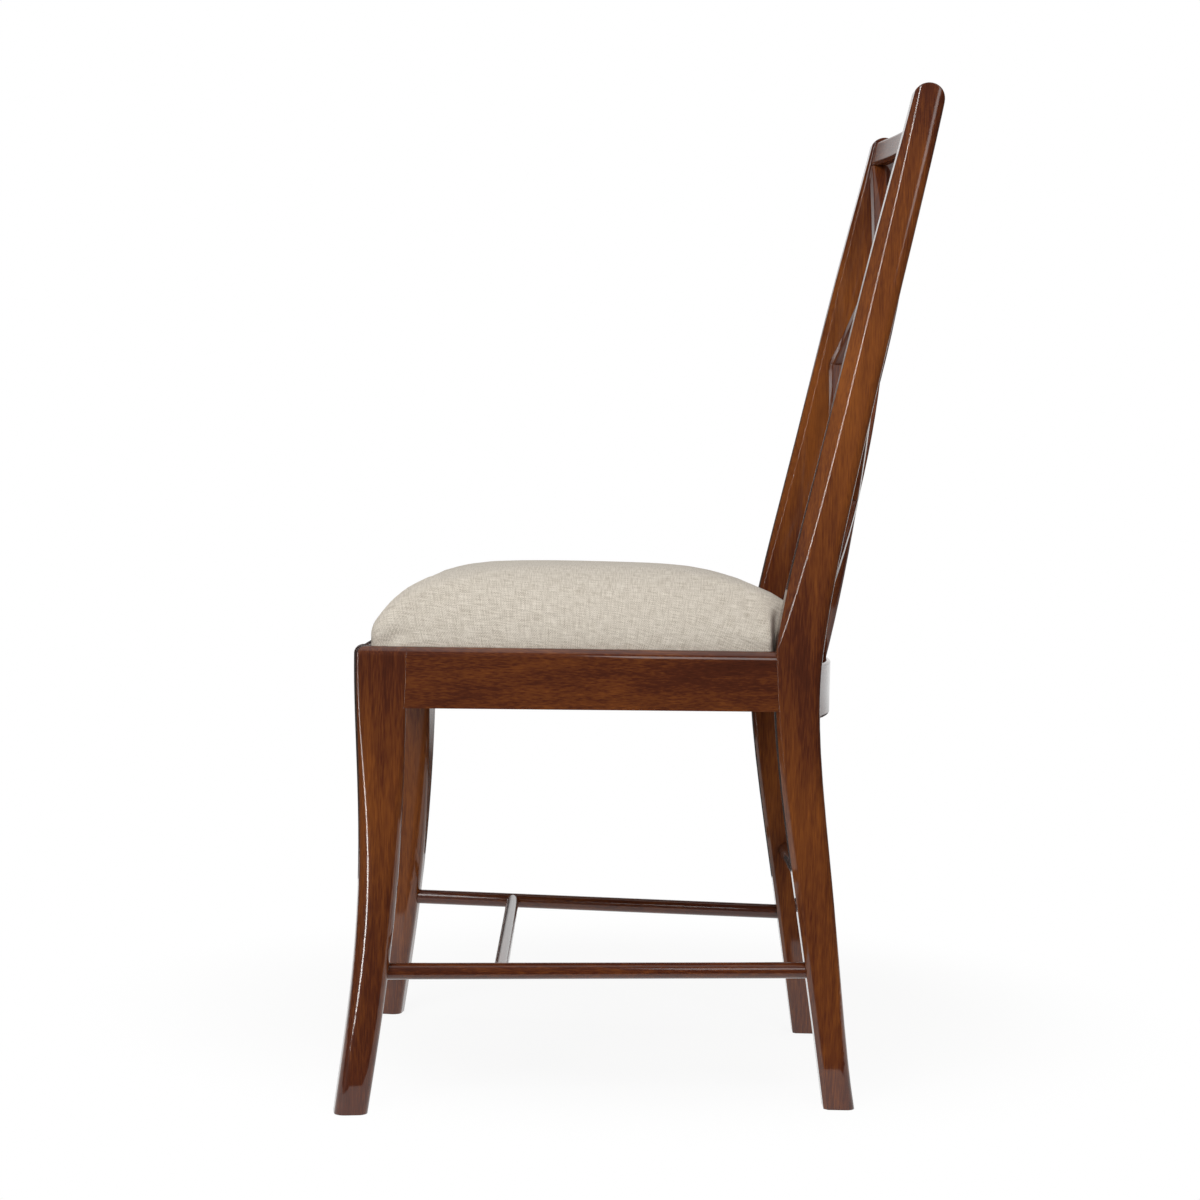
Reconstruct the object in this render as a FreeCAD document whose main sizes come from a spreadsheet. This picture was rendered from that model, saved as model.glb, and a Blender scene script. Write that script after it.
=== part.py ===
import FreeCAD, Part
import math
import os
import re

import Sketcher
from FreeCAD import Placement, Rotation, Vector

# Side chair with a bowed trellis back, sabre front legs and a drop-in upholstered seat.
# Millimetres. +Z is up, the front of the chair faces -Y and the sitter's left is +X.

doc = FreeCAD.newDocument("trellis_side_chair")

# Driving sizes.
SIZES = {
    "overall_height": 978,
    "seat_frame_top": 437,
    "rail_height": 57,
    "rail_thickness": 24,
    "rail_roundover": 9,
    "seat_land": 12,
    "seat_rebate": 14,
    "front_leg_x": 224,
    "front_leg_y": -247.6,
    "front_block_width": 40,
    "front_block_depth": 47,
    "front_foot_width": 31.5,
    "front_foot_depth": 31.5,
    "toe_sweep": 20,
    "front_rail_setback": 0.5,
    "post_x": 171,
    "post_front_y": 124.9,
    "post_block_width": 32,
    "post_block_depth": 45.6,
    "post_top_width": 26,
    "post_top_depth": 30,
    "post_rake": 119.6,
    "post_outer_radius": 9,
    "post_inner_radius": 4,
    "post_dome_radius": 15.6,
    "rear_foot_width": 28,
    "rear_foot_depth": 30,
    "rear_leg_splay": 56.5,
    "tenon_thickness": 10,
    "tenon_length": 18,
    "tenon_height": 30,
    "tenon_set_down": 5,
    "rear_rail_height": 54,
    "rear_rail_thickness": 22,
    "rear_rail_edge": 3,
    "panel_inset": 7,
    "panel_rake": 99,
    "panel_depth": 15,
    "panel_bow_low": 30,
    "panel_bow_high": 21,
    "bar_width": 11,
    "bar_edge": 1.6,
    "bar_housing": 8,
    "crest_height": 26,
    "crest_edge": 3.5,
    "crest_drop": 5,
    "diamond_waist": 732,
    "cross_foot": 468,
    "cross_head_drop": 7,
    "stretcher_diameter": 15.5,
    "stretcher_height": 131.5,
    "stretcher_housing": 4,
    "stretcher_splay_share": 0.65,
    "stretcher_depth_share": 0.55,
    "pin_diameter": 10,
    "pin_length": 12,
    "cross_stretcher_y": -129.7,
    "cross_stretcher_diameter": 14,
    "cross_pin_diameter": 7,
    "rear_stretcher_height": 202,
    "rear_stretcher_splay_share": 0.447,
    "rear_stretcher_depth_share": 0.6,
    "block_height": 36,
    "block_lift": 4,
    "block_reach": 80,
    "screw_diameter": 4,
    "screw_head": 8,
    "screw_head_depth": 3,
    "screw_length": 34,
    "screw_bite": 14,
    "seat_screw_bite": 9,
    "board_thickness": 12,
    "seat_clearance": 0.8,
    "cover_thickness": 1.2,
    "cushion_height": 91.4,
    "panel_clearance": 3.6,
    "panel_overrun": 20,
    "dust_thickness": 0.8,
    "dust_margin": 16,
}

# Sizes that follow from the driving ones.
FOLLOWING = {
    "rail_bottom": "seat_frame_top - rail_height",
    "seat_ledge": "seat_frame_top - seat_rebate",
    "post_rise": "overall_height - seat_frame_top",
    "side_run": "post_front_y - front_leg_y",
    "side_drift": "front_leg_x - post_x - post_block_width / 2",
    "side_length": "sqrt(side_run ^ 2 + side_drift ^ 2)",
    "side_angle": "asin(front_block_width / 2 / side_length) + atan(side_drift / side_run)",
    "front_rail_y": "front_leg_y - front_block_depth / 2 + front_rail_setback",
    "post_inner_x": "post_x - post_block_width / 2",
    "panel_end_y": "post_front_y + post_block_depth - panel_inset",
    "crest_top": "overall_height - crest_drop",
    "crest_bottom": "crest_top - crest_height",
    "panel_slope": "panel_rake / (crest_top - seat_frame_top)",
    "bar_reach": "post_inner_x + bar_housing",
    "well_front_y": "front_rail_y + seat_land",
    "well_side_x": "front_leg_x + (front_block_width / 2 - seat_land) / cos(side_angle)",
    "board_gap": "seat_clearance + cover_thickness",
    "centre_line": "0",
    "across_turn": "-90 deg",
    "toe_turn": "side_angle - 90 deg",
    "rake_angle": "atan(post_rake / post_rise)",
    "dome_z": "overall_height - post_dome_radius",
    "dome_y": "post_front_y + post_top_depth / 2 + post_rake * (1 - post_dome_radius / post_rise)",
    "panel_face": "0",
    "panel_half": "panel_depth / 2",
    "panel_behind": "-4 * panel_depth",
    "cover_back": "panel_depth + panel_clearance",
    "foam_back": "cover_back + cover_thickness",
    "dust_back": "panel_depth + dust_margin",
    "cross_head": "crest_bottom - cross_head_drop",
    "cross_middle": "(cross_foot + cross_head) / 2",
    "cross_angle": "atan((cross_head - cross_foot) / 2 / post_inner_x)",
    "cross_turned": "-cross_angle",
    "upper_angle": "-atan((crest_bottom - diamond_waist) / post_inner_x)",
    "lower_angle": "atan((diamond_waist - seat_ledge) / post_inner_x)",
    "rear_rail_bottom": "seat_ledge - rear_rail_height",
    "tenon_bottom": "seat_ledge - tenon_set_down - tenon_height",
    "rear_tenon_bottom": "seat_ledge - (rear_rail_height + tenon_height) / 2",
    "foreleg_axis_x": "front_leg_x + (front_block_width - front_foot_width) / 3",
    "foreleg_axis_y": "front_leg_y - toe_sweep / 4",
    "hindleg_axis_x": "post_x + (post_block_width - rear_foot_width) / 4",
    "hindleg_set_back": "rear_leg_splay * stretcher_splay_share + rear_foot_depth * stretcher_depth_share",
    "hindleg_axis_y": "post_front_y + hindleg_set_back",
    "stretcher_drift": "foreleg_axis_x - hindleg_axis_x",
    "stretcher_run": "hindleg_axis_y - foreleg_axis_y",
    "stretcher_turn": "atan(stretcher_drift / stretcher_run)",
    "stretcher_start": "front_foot_depth / 2 - stretcher_housing",
    "stretcher_span": "sqrt(stretcher_drift ^ 2 + stretcher_run ^ 2)",
    "stretcher_end": "stretcher_span - rear_foot_depth / 2 + stretcher_housing",
    "cross_share": "(cross_stretcher_y - foreleg_axis_y) / stretcher_run",
    "cross_half": "foreleg_axis_x - cross_share * stretcher_drift",
    "rear_splay": "rear_leg_splay * rear_stretcher_splay_share",
    "rear_stretcher_y": "post_front_y + rear_splay + rear_foot_depth * rear_stretcher_depth_share",
    "rear_stretcher_half": "post_inner_x + stretcher_housing + 1",
    "block_bottom": "rail_bottom + block_lift",
}

# Front leg, foot to top: share of the leg height, of the toe sweep, of the growth in depth
# and in width from foot to block, and the corner radius.
FRONT_LEG = (
    (0.00, 1.00, 0.00, 0.00, 10),
    (0.34, 0.22, 0.13, 0.22, 12),
    (0.68, -0.12, 0.48, 0.55, 11),
    (1.00, -0.03, 0.90, 1.00, 2.5),
)

# Rear leg below the seat, foot upwards: share of the height, of the splay, of the growth in
# depth and in width from foot to seat block, and the outer and inner front chamfers.
REAR_LEG = (
    (0.00, 1.00, 0.00, 0.00, 4, 3),
    (0.34, 0.65, 0.19, 0.35, 5, 3),
    (0.68, 0.28, 0.56, 0.75, 5, 3),
    (0.97, 0.04, 0.76, 1.00, 3, 2),
)

# Post above the seat, seat upwards: share of the rise, of the rake, of the thinning in depth and
# in width from seat block to top, and the front chamfers: outer across, outer back and inner.
POST = (
    (0.000, 0.000, 0.00, 0.00, 0.8, 0.8, 0.8),
    (0.116, 0.086, 0.12, 0.09, 6.0, 9.5, 3.5),
    (0.301, 0.272, 0.37, 0.25, 8.5, 12.5, 6.0),
    (0.597, 0.570, 0.53, 0.50, 8.5, 12.0, 6.0),
    (0.856, 0.845, 0.74, 0.82, 5.5, 8.0, 3.5),
    (1.022, 1.022, 1.00, 1.00, 2.5, 3.5, 1.5),
)

# Cushion, base upwards: share of its height above the ledge and its inset from the seat well at the
# front, at the sides and at the back.
CUSHION = (
    (0.000, 0, 0, 0),
    (0.164, 0, 0, 0),
    (0.200, -1.6, -1.6, 0),
    (0.265, -2.6, -2.6, 2),
    (0.330, -1.6, -1.6, 5),
    (0.400, 1.5, 1.5, 11),
    (0.500, 7.5, 7.5, 20),
    (0.620, 16, 16, 33),
    (0.740, 29, 28, 51),
    (0.840, 47, 44, 74),
    (0.920, 72, 63, 101),
    (0.970, 100, 82, 125),
    (1.000, 140, 106, 156),
)
CORNER_SOFTNESS = 14
CORNER_GROWTH = 0.35

# Corner blocks, as shares of their reach: how far they run along the side and the end rails, and where
# their screws are.
BLOCK = {
    "along_side": 0.75,
    "along_front": 1.1,
    "along_rear": 0.75,
    "front_screw": 0.55,
    "side_screw": 0.27,
    "post_screw": 0.1,
    "rear_screw": 0.34,
    "front_seat_in": 0.4,
    "front_seat_back": 0.35,
    "rear_seat_in": 0.15,
    "rear_seat_back": 0.06,
}
SCREW_STAGGER = 6

sheet = doc.addObject("Spreadsheet::Sheet", "Sizes")
rows = 0


def cell(alias, text):
    """Write one named cell of the sheet: a plain number, or a formula of other cells."""
    global rows
    rows += 1
    sheet.set(f"A{rows}", alias)
    sheet.set(f"B{rows}", text)
    sheet.setAlias(f"B{rows}", alias)


def number(alias):
    """The present value of a named cell."""
    value = getattr(sheet, alias)
    return getattr(value, "Value", value)


def sized(text):
    """Point every underscored word of an expression at its cell in the sheet."""
    return re.sub(r"[a-z]+(_[a-z0-9]+)+", r"Sizes.\g<0>", text)


def station(stem, **formulas):
    """Cells for one cross-section, named stem_what."""
    for what, formula in formulas.items():
        cell(f"{stem}_{what}", f"={formula}")


for alias, value in SIZES.items():
    cell(alias, str(value))
for alias, formula in FOLLOWING.items():
    cell(alias, f"={formula}")

for index, (rise, sweep, deep, wide, radius) in enumerate(FRONT_LEG):
    station(
        f"foreleg_{index}",
        level=f"rail_bottom * {rise}",
        width=f"front_foot_width + (front_block_width - front_foot_width) * {wide}",
        depth=f"front_foot_depth + (front_block_depth - front_foot_depth) * {deep}",
        outer="front_block_width / 2",
        front=f"-toe_sweep * {sweep} - (front_foot_depth"
        f" + (front_block_depth - front_foot_depth) * {deep}) / 2",
        radius=f"{radius}",
    )
station(
    f"foreleg_{len(FRONT_LEG)}",
    level="seat_frame_top",
    width="front_block_width",
    depth="front_block_depth",
    outer="front_block_width / 2",
    front="-front_block_depth / 2",
    radius="2",
)

for index, (rise, splay, deep, wide, outer, inner) in enumerate(REAR_LEG):
    station(
        f"post_{index}",
        level=f"rail_bottom * {rise}",
        width=f"rear_foot_width + (post_block_width - rear_foot_width) * {wide}",
        depth=f"rear_foot_depth + (post_block_depth - rear_foot_depth) * {deep}",
        outer="post_block_width / 2",
        front=f"rear_leg_splay * {splay}",
        across=f"{outer}",
        back=f"{outer}",
        inner=f"{inner}",
    )
for index, (rise, rake, thin, narrow, across, back, inner) in enumerate(POST, len(REAR_LEG)):
    station(
        f"post_{index}",
        level=f"seat_frame_top + post_rise * {rise}",
        width=f"post_block_width + (post_top_width - post_block_width) * {narrow}",
        depth=f"post_block_depth + (post_top_depth - post_block_depth) * {thin}",
        outer=f"(post_block_width + (post_top_width - post_block_width) * {narrow}) / 2",
        front=f"post_rake * {rake}",
        across=f"{across}",
        back=f"{back}",
        inner=f"{inner}",
    )

# The bowed back panel at two levels: the arc of its rear face, as radius and centre.
for name, level, bow in (
    ("panel_low", "seat_ledge - panel_overrun", "panel_bow_low"),
    ("panel_high", "overall_height + panel_overrun", "panel_bow_high"),
):
    station(
        name,
        level=level,
        radius=f"(post_inner_x ^ 2 + {bow} ^ 2) / (2 * {bow})",
        end=f"panel_end_y + ({level} - seat_frame_top) * panel_slope",
    )
    cell(f"{name}_centre", f"={name}_end + {bow} - {name}_radius")
cell("rail_arc_centre", "=panel_end_y + panel_bow_low - panel_low_radius")

doc.recompute()


def hull_cells(stem, level, front, side, back, radius):
    """Cells for one rounded outline of the seat: its insets from the well become corner centres."""
    front_y = f"(well_front_y + ({front}) + {radius})"
    back_y = f"(panel_end_y + panel_bow_low - panel_depth - ({back}) - {radius})"
    inward = f"(({side}) + {radius}) / cos(side_angle)"
    station(
        stem,
        level=level,
        corner=f"{radius}",
        fronty=front_y,
        frontx=f"well_side_x - ({front_y} - front_leg_y) * tan(side_angle) - {inward}",
        backy=back_y,
        backx=f"well_side_x - ({back_y} - front_leg_y) * tan(side_angle) - {inward}",
    )


LAYERS = (("cover", "seat_clearance", "0"), ("foam", "board_gap", "cover_thickness"))
for layer, margin, skin in LAYERS:
    for index, (rise, front, side, back) in enumerate(CUSHION):
        softness = CORNER_SOFTNESS + CORNER_GROWTH * max(front, 0)
        hull_cells(
            f"{layer}_{index}",
            f"seat_ledge + (cushion_height - {skin}) * {rise}",
            f"{front} + {margin}",
            f"{side} + {margin}",
            f"{back} + {margin}",
            softness,
        )
hull_cells("board_plan", "seat_ledge", "board_gap", "board_gap", "board_gap", CORNER_SOFTNESS)
DUST_EDGES = ["dust_margin"] * 3
hull_cells("dust_plan", "seat_ledge - dust_thickness", *DUST_EDGES, CORNER_SOFTNESS)
hull_cells("well_plan", "seat_ledge", "0", "0", "-post_block_depth", CORNER_SOFTNESS)

doc.recompute()


def bind(sketch, constraint, text):
    """Add a dimension to a sketch and tie it to an expression of the sheet."""
    index = sketch.addConstraint(constraint)
    name = f"size{index}"
    sketch.renameConstraint(index, name)
    sketch.setExpression(f"Constraints.{name}", sized(text))


def origin_plane(body, role):
    return next(plane for plane in body.Origin.OriginFeatures if plane.Role == role)


def plan_sketch(body, name, level):
    """A sketch on the body's ground plane, lifted to a level."""
    sketch = body.newObject("Sketcher::SketchObject", name)
    sketch.AttachmentSupport = (origin_plane(body, "XY_Plane"), "")
    sketch.MapMode = "FlatFace"
    sketch.setExpression("AttachmentOffset.Base.z", sized(level))
    return sketch


def loop(sketch, edges):
    """Add edges in order and join each end to the next start; arcs join smoothly."""
    for edge in edges:
        sketch.addGeometry(edge, False)
    count = len(edges)
    for first in range(count):
        second = (first + 1) % count
        smooth = any(isinstance(edges[i], Part.ArcOfCircle) for i in (first, second))
        kind = "Tangent" if smooth else "Coincident"
        sketch.addConstraint(Sketcher.Constraint(kind, first, 2, second, 1))


def line(x0, y0, x1, y1):
    return Part.LineSegment(Vector(x0, y0, 0), Vector(x1, y1, 0))


def corner(x, y, radius, start, end):
    """An arc about x, y between two angles in degrees."""
    circle = Part.Circle(Vector(x, y, 0), Vector(0, 0, 1), radius)
    return Part.ArcOfCircle(circle, math.radians(start), math.radians(end))


def square_to_axes(sketch, level_edges, upright_edges):
    for edge in level_edges:
        sketch.addConstraint(Sketcher.Constraint("Horizontal", edge))
    for edge in upright_edges:
        sketch.addConstraint(Sketcher.Constraint("Vertical", edge))


def leg_section(body, stem):
    """Rounded rectangle of the front leg at one station."""
    sketch = plan_sketch(body, f"{stem}_section", f"{stem}_level")
    x1 = number(f"{stem}_outer")
    x0 = x1 - number(f"{stem}_width")
    y0 = number(f"{stem}_front")
    y1 = y0 + number(f"{stem}_depth")
    r = number(f"{stem}_radius")
    loop(sketch, [
        line(x0 + r, y0, x1 - r, y0),
        corner(x1 - r, y0 + r, r, -90, 0),
        line(x1, y0 + r, x1, y1 - r),
        corner(x1 - r, y1 - r, r, 0, 90),
        line(x1 - r, y1, x0 + r, y1),
        corner(x0 + r, y1 - r, r, 90, 180),
        line(x0, y1 - r, x0, y0 + r),
        corner(x0 + r, y0 + r, r, 180, 270),
    ])
    square_to_axes(sketch, (0, 4), (2, 6))
    for arc in (3, 5, 7):
        sketch.addConstraint(Sketcher.Constraint("Equal", 1, arc))
    bind(sketch, Sketcher.Constraint("Radius", 1, r), f"{stem}_radius")
    bind(sketch, Sketcher.Constraint("DistanceX", 6, 1, 2, 1, x1 - x0), f"{stem}_width")
    bind(sketch, Sketcher.Constraint("DistanceY", 0, 1, 4, 1, y1 - y0), f"{stem}_depth")
    bind(sketch, Sketcher.Constraint("DistanceX", -1, 1, 2, 1, x1), f"{stem}_outer")
    bind(sketch, Sketcher.Constraint("DistanceY", -1, 1, 0, 1, y0), f"{stem}_front")
    return sketch


def post_section(body, stem):
    """Rear leg and post section: chamfered front corners, rounded rear corners."""
    sketch = plan_sketch(body, f"{stem}_section", f"{stem}_level")
    x1 = number(f"{stem}_outer")
    x0 = x1 - number(f"{stem}_width")
    y0 = number(f"{stem}_front")
    y1 = y0 + number(f"{stem}_depth")
    across = number(f"{stem}_across")
    back = number(f"{stem}_back")
    inner = number(f"{stem}_inner")
    outside = number("post_outer_radius")
    inside = number("post_inner_radius")
    loop(sketch, [
        line(x0 + inner, y0, x1 - across, y0),
        line(x1 - across, y0, x1, y0 + back),
        line(x1, y0 + back, x1, y1 - outside),
        corner(x1 - outside, y1 - outside, outside, 0, 90),
        line(x1 - outside, y1, x0 + inside, y1),
        corner(x0 + inside, y1 - inside, inside, 90, 180),
        line(x0, y1 - inside, x0, y0 + inner),
        line(x0, y0 + inner, x0 + inner, y0),
    ])
    square_to_axes(sketch, (0, 4), (2, 6))
    bind(sketch, Sketcher.Constraint("Radius", 3, outside), "post_outer_radius")
    bind(sketch, Sketcher.Constraint("Radius", 5, inside), "post_inner_radius")
    bind(sketch, Sketcher.Constraint("DistanceX", 6, 1, 2, 1, x1 - x0), f"{stem}_width")
    bind(sketch, Sketcher.Constraint("DistanceY", 0, 1, 4, 1, y1 - y0), f"{stem}_depth")
    bind(sketch, Sketcher.Constraint("DistanceX", -1, 1, 2, 1, x1), f"{stem}_outer")
    bind(sketch, Sketcher.Constraint("DistanceY", -1, 1, 0, 1, y0), f"{stem}_front")
    bind(sketch, Sketcher.Constraint("DistanceX", 1, 1, 1, 2, across), f"{stem}_across")
    bind(sketch, Sketcher.Constraint("DistanceY", 1, 1, 1, 2, back), f"{stem}_back")
    bind(sketch, Sketcher.Constraint("DistanceX", 7, 1, 7, 2, inner), f"{stem}_inner")
    bind(sketch, Sketcher.Constraint("DistanceY", 7, 2, 7, 1, inner), f"{stem}_inner")
    return sketch


def hull_sketch(body, stem):
    """Seat outline: two front and two back corner arcs with straight edges between them."""
    sketch = plan_sketch(body, f"{stem}_outline", f"{stem}_level")
    r = number(f"{stem}_corner")
    fx, fy = number(f"{stem}_frontx"), number(f"{stem}_fronty")
    bx, by = number(f"{stem}_backx"), number(f"{stem}_backy")
    lean = math.degrees(math.atan2(fx - bx, by - fy))
    out_x, out_y = r * math.cos(math.radians(lean)), r * math.sin(math.radians(lean))
    loop(sketch, [
        line(-fx, fy - r, fx, fy - r),
        corner(fx, fy, r, -90, lean),
        line(fx + out_x, fy + out_y, bx + out_x, by + out_y),
        corner(bx, by, r, lean, 90),
        line(bx, by + r, -bx, by + r),
        corner(-bx, by, r, 90, 180 - lean),
        line(-bx - out_x, by + out_y, -fx - out_x, fy + out_y),
        corner(-fx, fy, r, 180 - lean, 270),
    ])
    origin = (-1, 1)
    for arc, end in ((1, "front"), (3, "back"), (5, "back"), (7, "front")):
        centre = (arc, 3)
        ends = (origin, centre) if arc < 4 else (centre, origin)
        across = number(f"{stem}_{end}x")
        along = number(f"{stem}_{end}y")
        bind(sketch, Sketcher.Constraint("DistanceX", *ends[0], *ends[1], across), f"{stem}_{end}x")
        bind(sketch, Sketcher.Constraint("DistanceY", *origin, *centre, along), f"{stem}_{end}y")
        bind(sketch, Sketcher.Constraint("Radius", arc, r), f"{stem}_corner")
    return sketch


def place(item, x="0", y="0", z="0", turn=None):
    """Tie an object's Placement to the sheet; turn is about the vertical."""
    for axis, text in (("x", x), ("y", y), ("z", z)):
        item.setExpression(f"Placement.Base.{axis}", sized(text))
    if turn is not None:
        item.Placement.Rotation = Rotation(Vector(0, 0, 1), 1)
        item.setExpression("Placement.Rotation.Angle", sized(turn))


def loft(name, draw, *runs, ruled=False):
    """PartDesign body of one loft per run of sections; a run lists the stems of its cross-sections."""
    body = doc.addObject("PartDesign::Body", name)
    for count, stems in enumerate(runs):
        sketches = [draw(body, stem) for stem in stems]
        feature = body.newObject("PartDesign::AdditiveLoft", f"{name}_loft{count}")
        feature.Profile = sketches[0]
        feature.Sections = sketches[1:]
        feature.Ruled = ruled
        body.Tip = feature
    return body


def box(name, low, size, frame=None):
    """A block from its low corner and its size, both as expressions.

    frame is None for the chair's own axes or (x, y, turn) for axes turned about the vertical."""
    block = doc.addObject("Part::Box", name)
    for side, text in zip(("Length", "Width", "Height"), size):
        block.setExpression(side, sized(text))
    if frame is None:
        place(block, *low)
    else:
        x, y, turn = frame
        place(
            block,
            f"{x} + ({low[0]}) * cos({turn}) - ({low[1]}) * sin({turn})",
            f"{y} + ({low[0]}) * sin({turn}) + ({low[1]}) * cos({turn})",
            low[2],
            turn,
        )
    return block


def group(name, items):
    compound = doc.addObject("Part::Compound", name)
    compound.Links = items
    return compound


def cut(name, base, tools):
    result = doc.addObject("Part::Cut", name)
    result.Base = base
    result.Tool = tools[0] if len(tools) == 1 else group(f"{name}_tools", tools)
    return result


def fuse(name, items):
    result = doc.addObject("Part::MultiFuse", name)
    result.Shapes = items
    result.Refine = True
    return result


def common(name, items):
    result = doc.addObject("Part::MultiCommon", name)
    result.Shapes = items
    return result


def mirror(name, source):
    """The piece on the other side of the chair."""
    result = doc.addObject("Part::Mirroring", name)
    result.Source = source
    result.Normal = Vector(1, 0, 0)
    return result


def ease(name, base, radius, chosen):
    """Round the edges of a piece that a test picks."""
    doc.recompute()
    rounding = number(radius)
    result = doc.addObject("Part::Fillet", name)
    result.Base = base
    result.Edges = [
        (index, rounding, rounding)
        for index, edge in enumerate(base.Shape.Edges, 1)
        if chosen(edge)
    ]
    return result


# Axes along the left side of the seat, with the front leg's block at their origin.
SIDE = ("front_leg_x", "front_leg_y", "side_angle")
HALF_WIDE = "front_block_width / 2"
HALF_DEEP = "front_block_depth / 2"

front_leg_blank = loft(
    "front_leg_blank", leg_section, [f"foreleg_{index}" for index in range(len(FRONT_LEG) + 1)]
)
place(front_leg_blank, "front_leg_x", "front_leg_y", "0", "side_angle")

post_stems = [f"post_{index}" for index in range(len(REAR_LEG) + len(POST))]
post_lofted = loft(
    "post_lofted", post_section, post_stems[: len(REAR_LEG) + 1], post_stems[len(REAR_LEG) :]
)
place(post_lofted, "post_x", "post_front_y")

# The post ends in a rounded dome, square to its rake.
dome_room = box(
    "dome_room",
    (
        "post_x - post_block_width",
        "dome_y - post_block_depth * cos(rake_angle)",
        "dome_z + post_block_depth * sin(rake_angle)",
    ),
    ("2 * post_block_width", "2 * post_block_depth", "post_block_depth"),
)
dome_room.Placement.Rotation = Rotation(Vector(-1, 0, 0), 1)
dome_room.setExpression("Placement.Rotation.Angle", sized("rake_angle"))
dome_round = doc.addObject("Part::Cylinder", "dome_round")
dome_round.setExpression("Radius", sized("post_dome_radius"))
dome_round.setExpression("Height", sized("2 * post_block_width"))
dome_round.Placement.Rotation = Rotation(Vector(0, 1, 0), 90)
place(dome_round, "post_x - post_block_width", "dome_y", "dome_z")
post_blank = cut("post_blank", post_lofted, [cut("dome_waste", dome_room, [dome_round])])
post_blank_right = mirror("post_blank_right", post_blank)
front_leg_blank_right = mirror("front_leg_blank_right", front_leg_blank)


def roundover(name, frame, edge, start, length):
    """Waste of a quarter-round along a top edge; edge is its distance out from the frame's origin."""
    radius = "rail_roundover"
    room = box(
        f"{name}_room",
        (f"{edge} - {radius}", start, f"seat_frame_top - {radius}"),
        (f"2 * {radius}", length, f"2 * {radius}"),
        frame,
    )
    x, y, turn = frame
    bar = doc.addObject("Part::Cylinder", f"{name}_bar")
    bar.setExpression("Radius", sized(radius))
    bar.setExpression("Height", sized(length))
    out, along = f"({edge} - {radius})", f"({start})"
    place(
        bar,
        f"{x} + {out} * cos({turn}) - {along} * sin({turn})",
        f"{y} + {out} * sin({turn}) + {along} * cos({turn})",
        f"seat_frame_top - {radius}",
    )
    bar.Placement.Rotation = Rotation(Vector(0, 0, 1), number(turn)) * Rotation(Vector(1, 0, 0), -90)
    return cut(name, room, [bar])


def pad(name, stem, height):
    """PartDesign body that raises one seat outline to a height."""
    body = doc.addObject("PartDesign::Body", name)
    sketch = hull_sketch(body, stem)
    feature = body.newObject("PartDesign::Pad", f"{name}_pad")
    feature.Profile = sketch
    feature.setExpression("Length", sized(height))
    body.Tip = feature
    return body


seat_well = pad("seat_well", "well_plan", "2 * seat_rebate")
side_roundover = roundover("side_roundover", SIDE, HALF_WIDE, "-front_block_depth", "2 * side_run")
toe_frame = ("front_leg_x", "front_leg_y", "toe_turn")
toe_roundover = roundover(
    "toe_roundover", toe_frame, HALF_DEEP, "-front_block_width", "2 * front_block_width"
)
front_frame = ("centre_line", "centre_line", "across_turn")
front_roundover = roundover(
    "front_roundover", front_frame, "-front_rail_y", "-front_leg_x", "2 * front_leg_x"
)

# Side rail: its shoulders are scribed to the leg and the post, with a tenon in each.
side_rail_raw = box(
    "side_rail_raw",
    (f"{HALF_WIDE} - rail_thickness", "0", "rail_bottom"),
    ("rail_thickness", "side_run + post_block_depth / 2", "rail_height"),
    SIDE,
)
TENON_SIDE = f"{HALF_WIDE} - (rail_thickness + tenon_thickness) / 2"
side_front_tenon = box(
    "side_front_tenon",
    (TENON_SIDE, f"{HALF_DEEP} - tenon_length", "tenon_bottom"),
    ("tenon_thickness", "2 * tenon_length", "tenon_height"),
    SIDE,
)
side_rear_tenon = box(
    "side_rear_tenon",
    (TENON_SIDE, "side_run / cos(side_angle) - tenon_length", "tenon_bottom"),
    ("tenon_thickness", "2 * tenon_length", "tenon_height"),
    SIDE,
)
side_rail_shouldered = cut("side_rail_shouldered", side_rail_raw, [front_leg_blank, post_blank])
side_rail_tenoned = fuse("side_rail_tenoned", [side_rail_shouldered, side_front_tenon, side_rear_tenon])

# Front rail, tenoned into both front legs.
front_rail_raw = box(
    "front_rail_raw",
    (f"-front_leg_x + {HALF_WIDE} / 2", "front_rail_y", "rail_bottom"),
    (f"2 * front_leg_x - {HALF_WIDE}", "rail_thickness", "rail_height"),
)
front_rail_shouldered = cut(
    "front_rail_shouldered", front_rail_raw, [front_leg_blank, front_leg_blank_right]
)
FRONT_TENON_HALF = f"(front_leg_x - {HALF_WIDE} + tenon_length)"
front_tenon = box(
    "front_tenon",
    (f"-{FRONT_TENON_HALF}", "front_rail_y + (rail_thickness - tenon_thickness) / 2", "tenon_bottom"),
    (f"2 * {FRONT_TENON_HALF}", "tenon_thickness", "tenon_height"),
)
front_rail_tenoned = fuse("front_rail_tenoned", [front_rail_shouldered, front_tenon])


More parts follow.
